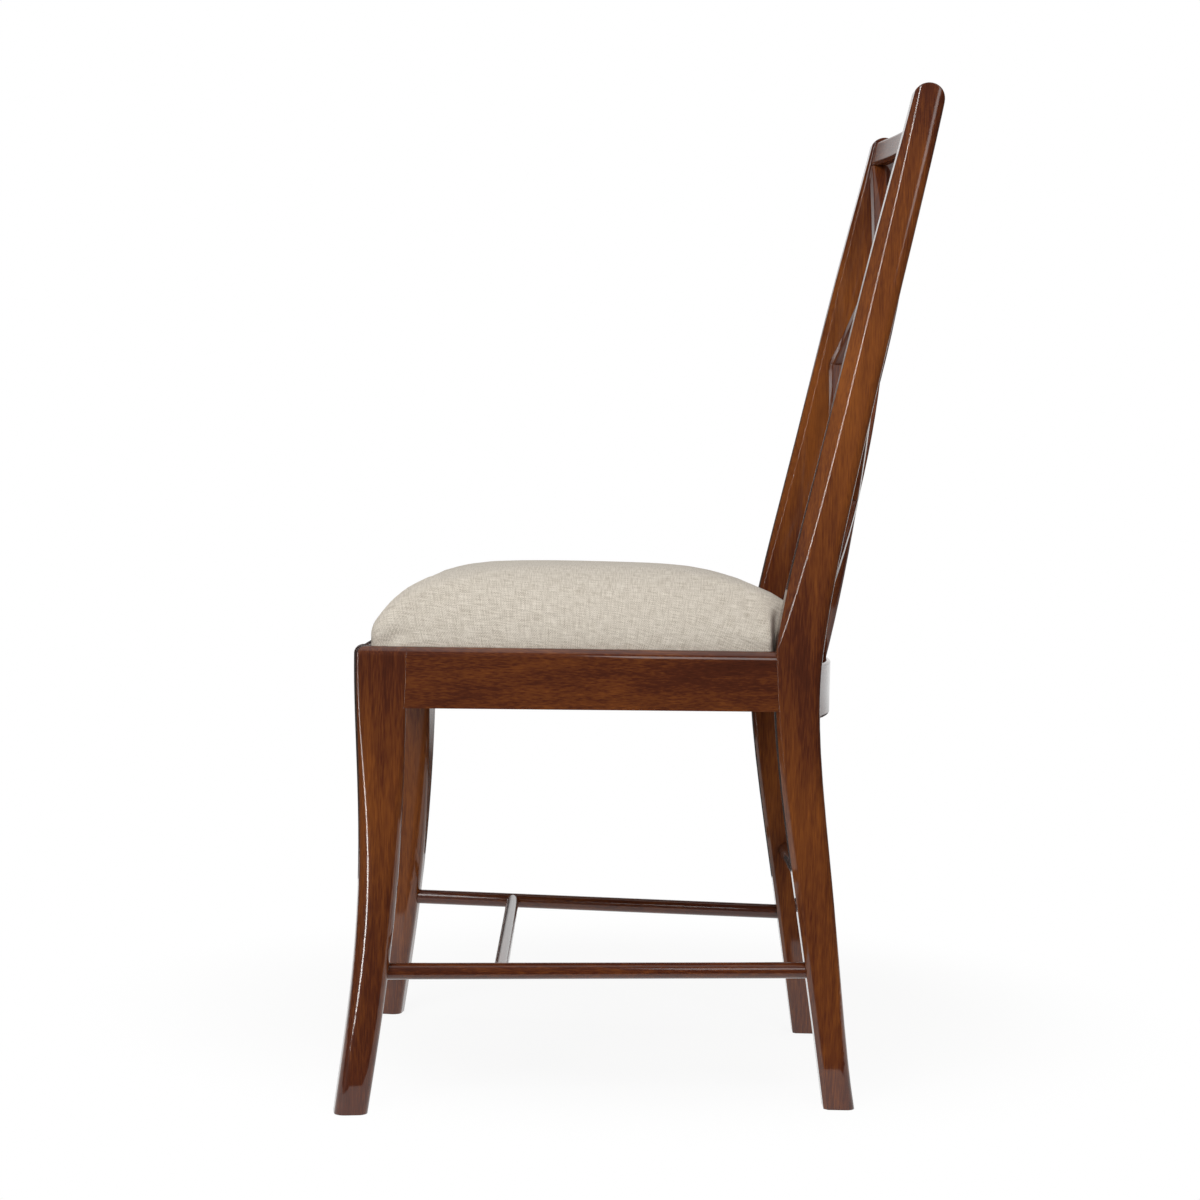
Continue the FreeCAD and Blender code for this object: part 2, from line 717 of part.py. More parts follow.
def arc_plan(name, level, centre, radius, behind, ahead):
    """Plan of a bowed layer between two arcs; behind and ahead are cells, measured forwards."""
    sketch = doc.addObject("Sketcher::SketchObject", name)
    sketch.setExpression("Placement.Base.z", sized(level))
    r = number(radius)
    reach = number("post_x")
    spread = math.degrees(math.asin(reach / r))
    rear_y = number(centre) - number(behind)
    front_y = number(centre) - number(ahead)
    rise = math.sqrt(r * r - reach * reach)
    for edge in (
        corner(0, rear_y, r, 90 - spread, 90 + spread),
        line(-reach, rear_y + rise, -reach, front_y + rise),
        corner(0, front_y, r, 90 - spread, 90 + spread),
        line(reach, front_y + rise, reach, rear_y + rise),
    ):
        sketch.addGeometry(edge, False)
    for ends in ((0, 2, 1, 1), (1, 2, 2, 2), (2, 1, 3, 1), (3, 2, 0, 1)):
        sketch.addConstraint(Sketcher.Constraint("Coincident", *ends))
    for arc, offset in ((0, behind), (2, ahead)):
        sketch.addConstraint(Sketcher.Constraint("PointOnObject", arc, 3, -2))
        bind(sketch, Sketcher.Constraint("Radius", arc, r), radius)
        middle = number(centre) - number(offset)
        bind(sketch, Sketcher.Constraint("DistanceY", -1, 1, arc, 3, middle), f"{centre} - {offset}")
    square_to_axes(sketch, (), (1, 3))
    bind(sketch, Sketcher.Constraint("DistanceX", -1, 1, 0, 1, reach), "post_x")
    bind(sketch, Sketcher.Constraint("DistanceX", 0, 2, -1, 1, reach), "post_x")
    return sketch


def raise_plan(name, sketch, height):
    solid = doc.addObject("Part::Extrusion", name)
    solid.Base = sketch
    solid.DirMode = "Custom"
    solid.Dir = Vector(0, 0, 1)
    solid.setExpression("LengthFwd", sized(height))
    solid.Solid = True
    return solid


def panel_layer(name, behind, ahead):
    """A layer of the bowed, raked back panel."""
    solid = doc.addObject("Part::Loft", name)
    solid.Sections = [
        arc_plan(f"{name}_{end}", f"{end}_level", f"{end}_centre", f"{end}_radius", behind, ahead)
        for end in ("panel_low", "panel_high")
    ]
    solid.Solid = True
    solid.Ruled = True
    return solid


def is_arc(edge):
    return isinstance(edge.Curve, Part.Circle)


def longer_than(length):
    return lambda edge: edge.Length > length


# Rear seat rail, bowed in plan, with eased edges and a tenon in each post.
rear_rail_plan = arc_plan(
    "rear_rail_plan",
    "rear_rail_bottom",
    "rail_arc_centre",
    "panel_low_radius",
    "panel_face",
    "rear_rail_thickness",
)
rear_rail_raw = raise_plan("rear_rail_raw", rear_rail_plan, "rear_rail_height")
rear_rail_eased = ease("rear_rail_eased", rear_rail_raw, "rear_rail_edge", is_arc)
rear_rail_shouldered = cut("rear_rail_shouldered", rear_rail_eased, [post_blank, post_blank_right])
rear_tenons = [
    box(
        f"rear_tenon_{side}",
        (
            low,
            "panel_end_y - (rear_rail_thickness + tenon_thickness) / 2",
            "rear_tenon_bottom",
        ),
        ("1.5 * tenon_length", "tenon_thickness", "tenon_height"),
    )
    for side, low in (
        ("left", "post_inner_x - tenon_length / 2"),
        ("right", "-post_inner_x - tenon_length"),
    )
]
rear_rail_tenoned = fuse("rear_rail_tenoned", [rear_rail_shouldered, *rear_tenons])

# Back panel: the crest and the trellis bars are all taken from one bowed slab.
panel = panel_layer("panel", "panel_face", "panel_depth")
panel_front = panel_layer("panel_front", "panel_half", "panel_depth")
PANEL_Y = "post_front_y - panel_depth"
PANEL_SPAN = "post_rake + 2 * post_block_depth + panel_bow_low"
crest_band = box(
    "crest_band", ("-bar_reach", PANEL_Y, "crest_bottom"), ("2 * bar_reach", PANEL_SPAN, "crest_height")
)
crest_raw = common("crest_raw", [panel, crest_band])
crest_eased = ease("crest_eased", crest_raw, "crest_edge", longer_than(number("post_x")))


def trellis_bar(name, middle, angle, low, size):
    """One straight bar of the trellis seen from the front: through x = 0 at a height, at an angle,
    kept inside a window given by its low corner and size in x and z."""
    bar = doc.addObject("Part::Box", f"{name}_strip")
    bar.setExpression("Length", sized("2 * overall_height"))
    bar.setExpression("Width", sized(PANEL_SPAN))
    bar.setExpression("Height", sized("bar_width"))
    place(
        bar,
        f"-overall_height * cos({angle}) + bar_width / 2 * sin({angle})",
        PANEL_Y,
        f"{middle} - overall_height * sin({angle}) - bar_width / 2 * cos({angle})",
    )
    slope = number(angle)
    bar.Placement.Rotation = Rotation(Vector(0, -math.copysign(1, slope), 0), 1)
    bar.setExpression("Placement.Rotation.Angle", sized(f"abs({angle})"))
    window = box(f"{name}_window", (low[0], PANEL_Y, low[1]), (size[0], PANEL_SPAN, size[1]))
    return common(f"{name}_outline", [bar, window])


WHOLE = (("-bar_reach", "seat_ledge"), ("2 * bar_reach", "crest_bottom - seat_ledge"))
UPPER = (("0", "diamond_waist"), ("bar_reach", "crest_bottom + crest_height / 5 - diamond_waist"))
LOWER = (
    ("0", "seat_ledge - bar_width / 2"),
    ("bar_reach", "diamond_waist - seat_ledge + bar_width / 2"),
)
outlines = {
    "cross_bar_rising": trellis_bar("cross_bar_rising", "cross_middle", "cross_angle", *WHOLE),
    "cross_bar_falling": trellis_bar("cross_bar_falling", "cross_middle", "cross_turned", *WHOLE),
    "diamond_upper_left": trellis_bar("diamond_upper_left", "crest_bottom", "upper_angle", *UPPER),
    "diamond_lower_left": trellis_bar("diamond_lower_left", "seat_ledge", "lower_angle", *LOWER),
}
for side in ("upper", "lower"):
    left_outline = outlines[f"diamond_{side}_left"]
    outlines[f"diamond_{side}_right"] = mirror(f"diamond_{side}_right_outline", left_outline)

eased = {}
front_laps = {}
rear_laps = {}
for name, outline in outlines.items():
    strip = common(f"{name}_blank", [outline, panel])
    eased[name] = ease(f"{name}_eased", strip, "bar_edge", longer_than(number("post_inner_x")))
    front_laps[name] = common(f"{name}_front_lap", [outline, panel_front])
    rear_laps[name] = cut(f"{name}_rear_lap", strip, [panel_front])

# Half laps: the diamond lies in front of the long bars, the rising bar in front of the falling one.
diamond = [name for name in outlines if name.startswith("diamond")]
crosses = ["cross_bar_rising", "cross_bar_falling"]
diamond_front = [front_laps[name] for name in diamond]
between = {
    "cross_bar_rising": rear_laps["cross_bar_falling"],
    "cross_bar_falling": front_laps["cross_bar_rising"],
}
bars = {}
for name in crosses:
    bars[name] = cut(name, eased[name], diamond_front + [between[name]])
for name in diamond:
    bars[name] = cut(name, eased[name], [rear_laps[cross] for cross in crosses])

crest_rail = cut("crest_rail", crest_eased, [bars["diamond_upper_left"], bars["diamond_upper_right"]])
rear_rail_housed = cut(
    "rear_rail_housed", rear_rail_tenoned, [bars["diamond_lower_left"], bars["diamond_lower_right"]]
)


def rod(name, frame, level, runs):
    """Round rod lying along a turned frame's y axis; runs are (diameter, start, end) of each length."""
    body = doc.addObject("PartDesign::Body", name)
    for index, (diameter, start, end) in enumerate(runs):
        sketch = body.newObject("Sketcher::SketchObject", f"{name}_round{index}")
        sketch.AttachmentSupport = (origin_plane(body, "XZ_Plane"), "")
        sketch.MapMode = "FlatFace"
        sketch.setExpression("AttachmentOffset.Base.z", sized(f"-({start})"))
        middle = Vector(0, number(level), 0)
        sketch.addGeometry(Part.Circle(middle, Vector(0, 0, 1), number(diameter) / 2), False)
        sketch.addConstraint(Sketcher.Constraint("PointOnObject", 0, 3, -2))
        bind(sketch, Sketcher.Constraint("DistanceY", -1, 1, 0, 3, number(level)), level)
        bind(sketch, Sketcher.Constraint("Diameter", 0, number(diameter)), diameter)
        feature = body.newObject("PartDesign::Pad", f"{name}_length{index}")
        feature.Profile = sketch
        feature.setExpression("Length", sized(f"({end}) - ({start})"))
        feature.Reversed = True
        body.Tip = feature
    x, y, turn = frame
    place(body, x, y, "0", turn)
    return body


# Stretchers: round rods let into the legs by their full size, then by a thinner pin.
side_stretcher_blank = rod(
    "side_stretcher_blank",
    ("foreleg_axis_x", "foreleg_axis_y", "stretcher_turn"),
    "stretcher_height",
    (
        ("stretcher_diameter", "stretcher_start", "stretcher_end"),
        ("pin_diameter", "stretcher_start - pin_length", "stretcher_end + pin_length"),
    ),
)
side_stretcher_blank_right = mirror("side_stretcher_blank_right", side_stretcher_blank)
cross_frame = ("centre_line", "cross_stretcher_y", "across_turn")
cross_rod = rod(
    "cross_rod",
    cross_frame,
    "stretcher_height",
    (("cross_stretcher_diameter", "-cross_half", "cross_half"),),
)
CROSS_PIN_HALF = "cross_half + stretcher_diameter / 4"
cross_pin = rod(
    "cross_pin",
    cross_frame,
    "stretcher_height",
    (("cross_pin_diameter", f"-({CROSS_PIN_HALF})", CROSS_PIN_HALF),),
)
cross_coped = cut("cross_coped", cross_rod, [side_stretcher_blank, side_stretcher_blank_right])
cross_stretcher = fuse("cross_stretcher", [cross_coped, cross_pin])
side_stretcher_left = cut("side_stretcher_left", side_stretcher_blank, [cross_stretcher])
rear_stretcher = rod(
    "rear_stretcher",
    ("centre_line", "rear_stretcher_y", "across_turn"),
    "rear_stretcher_height",
    (
        ("stretcher_diameter", "-rear_stretcher_half", "rear_stretcher_half"),
        ("pin_diameter", "-rear_stretcher_half - pin_length", "rear_stretcher_half + pin_length"),
    ),
)

front_leg_left = cut(
    "front_leg_left",
    front_leg_blank,
    [seat_well, side_roundover, toe_roundover, side_rail_tenoned, front_rail_tenoned, side_stretcher_left],
)
rear_leg_left = cut(
    "rear_leg_left",
    post_blank,
    [side_rail_tenoned, rear_rail_housed, crest_rail, side_stretcher_left, rear_stretcher, *bars.values()],
)


def prism(name, level, height, corners):
    """Upright prism over straight-sided plan corners, each an (x, y) pair of expressions."""
    sketch = doc.addObject("Sketcher::SketchObject", f"{name}_plan")
    sketch.setExpression("Placement.Base.z", sized(level))
    count = len(corners)
    ring = [
        (math.cos(2 * math.pi * index / count), math.sin(2 * math.pi * index / count))
        for index in range(count)
    ]
    loop(sketch, [line(*ring[index], *ring[(index + 1) % count]) for index in range(count)])
    for index, (x, y) in enumerate(corners):
        bind(sketch, Sketcher.Constraint("DistanceX", -1, 1, index, 1, ring[index][0]), x)
        bind(sketch, Sketcher.Constraint("DistanceY", -1, 1, index, 1, ring[index][1]), y)
    return raise_plan(name, sketch, height)


def side_point(out, along):
    """Plan position, as expressions, of a point given along the left side of the seat."""
    x, y, turn = SIDE
    return (
        f"{x} + ({out}) * cos({turn}) - ({along}) * sin({turn})",
        f"{y} + ({out}) * sin({turn}) + ({along}) * cos({turn})",
    )


def side_vector(out, along, level):
    """The same point as a vector, from numbers."""
    turn = math.radians(number("side_angle"))
    return Vector(
        number("front_leg_x") + out * math.cos(turn) - along * math.sin(turn),
        number("front_leg_y") + out * math.sin(turn) + along * math.cos(turn),
        level,
    )


def screw(name, head, towards, length):
    """Countersunk wood screw, and the bore that lets its head in, as (screw, bore)."""
    turn = Rotation(Vector(0, 0, 1), towards)
    shank = doc.addObject("Part::Cylinder", f"{name}_shank")
    shank.setExpression("Radius", sized("screw_diameter / 2"))
    shank.Height = length
    cone = doc.addObject("Part::Cone", f"{name}_head")
    cone.setExpression("Radius1", sized("screw_head / 2"))
    cone.setExpression("Radius2", sized("screw_diameter / 2"))
    cone.setExpression("Height", sized("screw_head_depth"))
    bore = doc.addObject("Part::Cylinder", f"{name}_bore")
    bore.setExpression("Radius", sized("screw_head / 2"))
    bore.setExpression("Height", sized("screw_length"))
    for item in (shank, cone):
        item.Placement = Placement(head, turn)
    bore.Placement = Placement(head - towards.normalize() * number("screw_length"), turn)
    return fuse(name, [shank, cone]), bore


# Corner blocks, cut to fit between the rails and round the legs.
RAIL_AXIS = f"{HALF_WIDE} - rail_thickness / 2"
front_corner = side_point(RAIL_AXIS, f"-{HALF_DEEP} / 2")
front_block_raw = prism(
    "front_block_raw",
    "block_bottom",
    "block_height",
    [
        front_corner,
        side_point(RAIL_AXIS, f"{HALF_DEEP} + block_reach * {BLOCK['along_side']}"),
        (f"{front_corner[0]} - block_reach * {BLOCK['along_front']}", front_corner[1]),
    ],
)
rear_block_raw = prism(
    "rear_block_raw",
    "block_bottom",
    "block_height",
    [
        ("post_x", "post_front_y + tenon_length"),
        (f"post_inner_x - block_reach * {BLOCK['along_rear']}", "panel_end_y + tenon_thickness / 2"),
        side_point(RAIL_AXIS, f"side_run - block_reach * {BLOCK['along_side']}"),
    ],
)
front_block_fitted = cut(
    "front_block_fitted", front_block_raw, [front_leg_left, side_rail_tenoned, front_rail_tenoned]
)
rear_block_fitted = cut(
    "rear_block_fitted", rear_block_raw, [rear_leg_left, side_rail_tenoned, rear_rail_housed]
)

# Screws: two through each block into its rails, and one up into the seat board.
long_screw = number("screw_length")
clear = long_screw - number("screw_bite")
rail_inner = number("front_block_width") / 2 - number("rail_thickness")
block_mid = number("block_bottom") + number("block_height") / 2
high, low = block_mid + SCREW_STAGGER, block_mid - SCREW_STAGGER
out_of_side = side_vector(1, 0, 0) - side_vector(0, 0, 0)
seat_bite = number("seat_ledge") + number("seat_screw_bite") - number("block_bottom")
front_face = number("front_rail_y") + number("rail_thickness")
reach = {place: share * number("block_reach") for place, share in BLOCK.items()}
rear_screw_x = number("post_inner_x") - reach["rear_screw"]
bow_there = number("panel_bow_low") * (1 - (rear_screw_x / number("post_inner_x")) ** 2)
rear_face = number("panel_end_y") - number("rear_rail_thickness") + bow_there
behind_leg = number("front_block_depth") / 2 + reach["side_screw"]
before_post = number("side_run") - reach["post_screw"]
block_screws = {
    "front_to_front": (
        Vector(number("front_leg_x") - reach["front_screw"], front_face + clear, low),
        Vector(0, -1, 0),
    ),
    "front_to_side": (side_vector(rail_inner - clear, behind_leg, high), out_of_side),
    "rear_to_side": (side_vector(rail_inner - clear, before_post, high), out_of_side),
    "rear_to_rear": (Vector(rear_screw_x, rear_face - clear, low), Vector(0, 1, 0)),
}
seat_screws = {
    "front_seat": Vector(
        number("front_leg_x") - reach["front_seat_in"],
        front_face + reach["front_seat_back"],
        number("block_bottom"),
    ),
    "rear_seat": Vector(
        number("post_inner_x") - reach["rear_seat_in"],
        number("post_front_y") + reach["rear_seat_back"],
        number("block_bottom"),
    ),
}
fixings = {}
bores = {}
for name, (head, towards) in block_screws.items():
    fixings[name], bores[name] = screw(f"{name}_screw", head, towards, long_screw)
for name, head in seat_screws.items():
    fixings[name], bores[name] = screw(f"{name}_screw", head, Vector(0, 0, 1), seat_bite)
FRONT_FIXINGS = ("front_to_front", "front_to_side", "front_seat")
REAR_FIXINGS = ("rear_to_side", "rear_to_rear", "rear_seat")
front_block_left = cut(
    "front_corner_block_left",
    front_block_fitted,
    [fixings[name] for name in FRONT_FIXINGS] + [bores[name] for name in FRONT_FIXINGS],
)
rear_block_left = cut(
    "rear_corner_block_left",
    rear_block_fitted,
    [fixings[name] for name in REAR_FIXINGS] + [bores[name] for name in REAR_FIXINGS],
)
left_block_screws = group("left_block_screws", [fixings[name] for name in block_screws])
left_seat_screws = group("left_seat_screws", [fixings[name] for name in seat_screws])
block_screw_group = group(
    "corner_block_screws", [left_block_screws, mirror("right_block_screws", left_block_screws)]
)
seat_screw_group = group("seat_screws", [left_seat_screws, mirror("right_seat_screws", left_seat_screws)])


# Drop-in seat: board, foam and cover share one outline, notched round the posts and bowed behind.
def seat_trim(name, gap, back):
    """Waste round the posts and behind the seat, for a layer at a gap from them."""
    notch = box(
        f"{name}_notch",
        (f"post_inner_x - {gap}", f"post_front_y - {gap}", "seat_ledge - seat_rebate"),
        ("2 * post_block_width", "4 * post_block_depth", "2 * cushion_height"),
    )
    plan = arc_plan(
        f"{name}_back_plan",
        "seat_ledge - seat_rebate",
        "rail_arc_centre",
        "panel_low_radius",
        "panel_behind",
        back,
    )
    behind = raise_plan(f"{name}_back", plan, "2 * cushion_height")
    return [notch, mirror(f"{name}_notch_right", notch), behind]


def cushion_loft(layer):
    stems = [f"{layer}_{index}" for index in range(len(CUSHION))]
    return loft(f"{layer}_lofted", hull_sketch, stems, ruled=True)


board_trim = seat_trim("board", "(2 * board_gap)", "foam_back")
board_shaped = cut("board_shaped", pad("board_blank", "board_plan", "board_thickness"), board_trim)
seat_board = cut("seat_board", board_shaped, [seat_screw_group])
dust_blank = pad("dust_blank", "dust_plan", "dust_thickness")
dust_trim = seat_trim("dust", "dust_margin", "dust_back")
dust_cover = cut("dust_cover", dust_blank, dust_trim + [seat_screw_group])
below_foam = box(
    "below_foam",
    ("-2 * front_leg_x", "2 * front_leg_y", "seat_ledge - seat_rebate"),
    ("4 * front_leg_x", "-4 * front_leg_y", "seat_rebate + board_thickness"),
)
seat_foam = cut("seat_foam", cushion_loft("foam"), board_trim + [below_foam])
cover_trim = seat_trim("cover", "board_gap", "cover_back")
seat_cover = cut("seat_cover", cushion_loft("cover"), cover_trim + [seat_foam, board_shaped])

side_rail_left = cut("side_rail_left", side_rail_tenoned, [seat_well, side_roundover, left_block_screws])
front_seat_rail = cut("front_seat_rail", front_rail_tenoned, [seat_well, front_roundover, block_screw_group])
NODES = {
    "front_leg_left": front_leg_left,
    "front_leg_right": mirror("front_leg_right", front_leg_left),
    "rear_leg_left": rear_leg_left,
    "rear_leg_right": mirror("rear_leg_right", rear_leg_left),
    "side_rail_left": side_rail_left,
    "side_rail_right": mirror("side_rail_right", side_rail_left),
    "front_seat_rail": front_seat_rail,
    "rear_seat_rail": cut("rear_seat_rail", rear_rail_housed, [block_screw_group]),
    "crest_rail": crest_rail,
    **bars,
    "side_stretcher_left": side_stretcher_left,
    "side_stretcher_right": mirror("side_stretcher_right", side_stretcher_left),
    "cross_stretcher": cross_stretcher,
    "rear_stretcher": rear_stretcher,
    "front_corner_block_left": front_block_left,
    "front_corner_block_right": mirror("front_corner_block_right", front_block_left),
    "rear_corner_block_left": rear_block_left,
    "rear_corner_block_right": mirror("rear_corner_block_right", rear_block_left),
    "corner_block_screws": block_screw_group,
    "seat_screws": seat_screw_group,
    "seat_board": seat_board,
    "dust_cover": dust_cover,
    "seat_foam": seat_foam,
    "seat_cover": seat_cover,
}
doc.recompute()

for item in doc.Objects:
    if "Invalid" in item.State or "Error" in item.State:
        raise RuntimeError(f"{item.Name} did not compute: {item.State}")
os.makedirs("parts", exist_ok=True)
for name, node in NODES.items():
    shape = node.Shape
    if shape.isNull() or not shape.isValid():
        raise RuntimeError(f"{name} has no valid shape")
    node.Label = name
    shape.exportStep(f"parts/{name}.step")
    print(f"{name}: {len(shape.Solids)} solid(s), {shape.Volume / 1000:.1f} cm3")
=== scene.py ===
import math

import bmesh
import bpy
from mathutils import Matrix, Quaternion, Vector
from mathutils.bvhtree import BVHTree


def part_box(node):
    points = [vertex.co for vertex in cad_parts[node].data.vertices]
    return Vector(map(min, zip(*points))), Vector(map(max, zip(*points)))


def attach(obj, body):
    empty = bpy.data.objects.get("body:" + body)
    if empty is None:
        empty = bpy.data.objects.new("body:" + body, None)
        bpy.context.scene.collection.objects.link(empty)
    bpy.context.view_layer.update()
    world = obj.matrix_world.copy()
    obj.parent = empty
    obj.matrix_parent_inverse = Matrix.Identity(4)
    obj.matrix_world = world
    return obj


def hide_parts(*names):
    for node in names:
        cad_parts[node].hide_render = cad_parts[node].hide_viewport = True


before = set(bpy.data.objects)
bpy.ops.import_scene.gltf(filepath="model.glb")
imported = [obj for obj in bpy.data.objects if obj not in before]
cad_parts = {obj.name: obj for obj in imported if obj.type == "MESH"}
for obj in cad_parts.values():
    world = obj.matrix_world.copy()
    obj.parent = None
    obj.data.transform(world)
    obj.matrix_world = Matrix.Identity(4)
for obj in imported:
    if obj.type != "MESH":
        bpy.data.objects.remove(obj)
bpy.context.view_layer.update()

bl_info = {
    "name": "Trellis Back Side Chair",
    "version": (1, 0, 0),
    "blender": (4, 5, 0),
    "location": "View3D > Sidebar > Chair",
    "description": "Lacquers the frame of a trellis back side chair and upholsters its drop-in seat",
    "category": "Object",
}

MM = 0.001

# Painted light and shade on the legs and posts, as tone by height in metres: painted shade at the feet, the
# seat and the top, and painted light that leaves them amber between.
LEG_PAINTED_LIGHT_AND_SHADE = ((0.0, 0.42), (0.12, 0.56), (0.28, 0.64), (0.42, 0.44), (0.58, 0.64), (0.72, 0.82), (0.95, 0.44))


def linear(hex_colour):
    """A hex sRGB colour as linear red, green, blue and alpha."""
    parts = [int(hex_colour[i:i + 2], 16) / 255 for i in (1, 3, 5)]
    return [c / 12.92 if c <= 0.04045 else ((c + 0.055) / 1.055) ** 2.4 for c in parts] + [1.0]


def colour(name, description, hex_colour):
    """A colour property with a hex default."""
    return bpy.props.FloatVectorProperty(
        name=name, description=description, default=linear(hex_colour), size=4, min=0, max=1, subtype="COLOR"
    )


def size(name, description, millimetres):
    """A length property with its default in millimetres."""
    return bpy.props.FloatProperty(
        name=name, description=description, default=millimetres * MM, unit="LENGTH"
    )


def angle(name, description, radians):
    """An angle property with its default in radians."""
    return bpy.props.FloatProperty(name=name, description=description, default=radians, subtype="ANGLE")


def power(name, description, watts):
    """A lamp's power property with its default in watts."""
    return bpy.props.FloatProperty(name=name, description=description, default=watts, unit="POWER")


class ChairWood(bpy.types.PropertyGroup):
    """Colours and grain of the lacquered frame."""

    dark: colour("Dark grain", "Darkest streaks of the stained wood", "#331409")
    middle: colour("Middle tone", "Main red brown of the stained wood", "#552612")
    light: colour("Light figure", "Amber bands of the figure", "#93521f")
    figure_width: size("Figure width", "Width of one band of the figure", 12)
    figure_length: size("Figure length", "Length of one band along the grain", 150)
    grain_width: size("Grain width", "Width of one pore streak", 1.2)
    grain_length: size("Grain length", "Length of one pore streak", 16)
    cloud_width: size("Cloud width", "Width of the uneven take-up of the stain", 60)
    cloud_length: size("Cloud length", "Length of the uneven take-up of the stain", 260)
    tone: bpy.props.FloatProperty(
        name="Tone",
        description="Share of amber in the rails and bars",
        default=0.43,
        min=0,
        max=1,
        subtype="FACTOR",
    )
    arris: size("Arris", "Radius of the hand-eased edges under the lacquer", 2)
    rail_arris: size("Rail arris", "Radius of the edges of the rails, which meet the legs flush", 0.3)


class ChairSeat(bpy.types.PropertyGroup):
    """Form and cloth of the upholstered seat."""

    voxel: size("Voxel", "Mesh size of the cover in the cloth simulation", 4.5)
    tuck: size("Tuck", "Height above the board at which the cover is held fast", 3)
    turn_under: size("Turn under", "Height of the cover's lower rim above the underside of the board", 0.3)
    rim: size("Rim", "Thickness of the cover where it is drawn over the edge of the board", 1)
    swell: size("Swell", "Furthest the stuffing may push the sides out", 4.5)
    linen: colour("Linen", "Light threads of the unbleached linen", "#e0d8cb")
    linen_shade: colour("Linen shade", "Darker slub threads of the linen", "#a99d8c")
    thread: size("Thread", "Spacing of the drawn threads", 1.2)
    slub: size("Slub", "Length of a thick stretch of yarn", 14)
    lining_sag: size("Lining sag", "How far the lining under the seat hangs from the board", 1.5)


class ChairStage(bpy.types.PropertyGroup):
    """Camera and light of the photograph."""

    camera_position: bpy.props.FloatVectorProperty(
        name="Camera position",
        description="Place of the lens",
        default=(2.5133, -0.0628, 0.5646),
        subtype="TRANSLATION",
    )
    lens: bpy.props.FloatProperty(
        name="Lens", description="Focal length on a 36 mm sensor", default=73.67 * MM, subtype="DISTANCE"
    )
    yaw: angle("Yaw", "Turn towards the chair's back", 0.00821)
    pitch: angle("Pitch", "Downward tilt", 0.03523)
    roll: angle("Roll", "Turn about the line of sight", 0.02299)
    key_power: power("Key", "Power of the large softbox on the side of the chair's front", 34)
    edge_power: power("Edge", "Power of the upright strip that shows in the lacquer alone", 40)
    top_power: power("Top", "Power of the panel overhead", 16)
    fill_power: power("Fill", "Power of the softbox on the side of the chair's back", 10)
    floor: colour("Floor", "Pale studio floor", "#f7f6f4")


def add(tree, kind, inputs=None, stops=(), **settings):
    """Add a node, set its properties and the stops of its ramp, and set or link its inputs."""
    node = tree.nodes.new(kind)
    for name, value in settings.items():
        setattr(node, name, value)
    for _ in stops[2:]:
        node.color_ramp.elements.new(1.0)
    for index, (position, tone) in enumerate(stops):
        node.color_ramp.elements[index].position = position
        node.color_ramp.elements[index].color = tone
    for key, value in (inputs or {}).items():
        if isinstance(value, bpy.types.NodeSocket):
            tree.links.new(value, node.inputs[key])
        else:
            node.inputs[key].default_value = value
    return node


def new_material(name):
    """An empty node material, its tree and the object coordinates."""
    material = bpy.data.materials.new(name)
    material.use_nodes = True
    tree = material.node_tree
    tree.nodes.clear()
    return material, tree, add(tree, "ShaderNodeTexCoord").outputs["Object"]


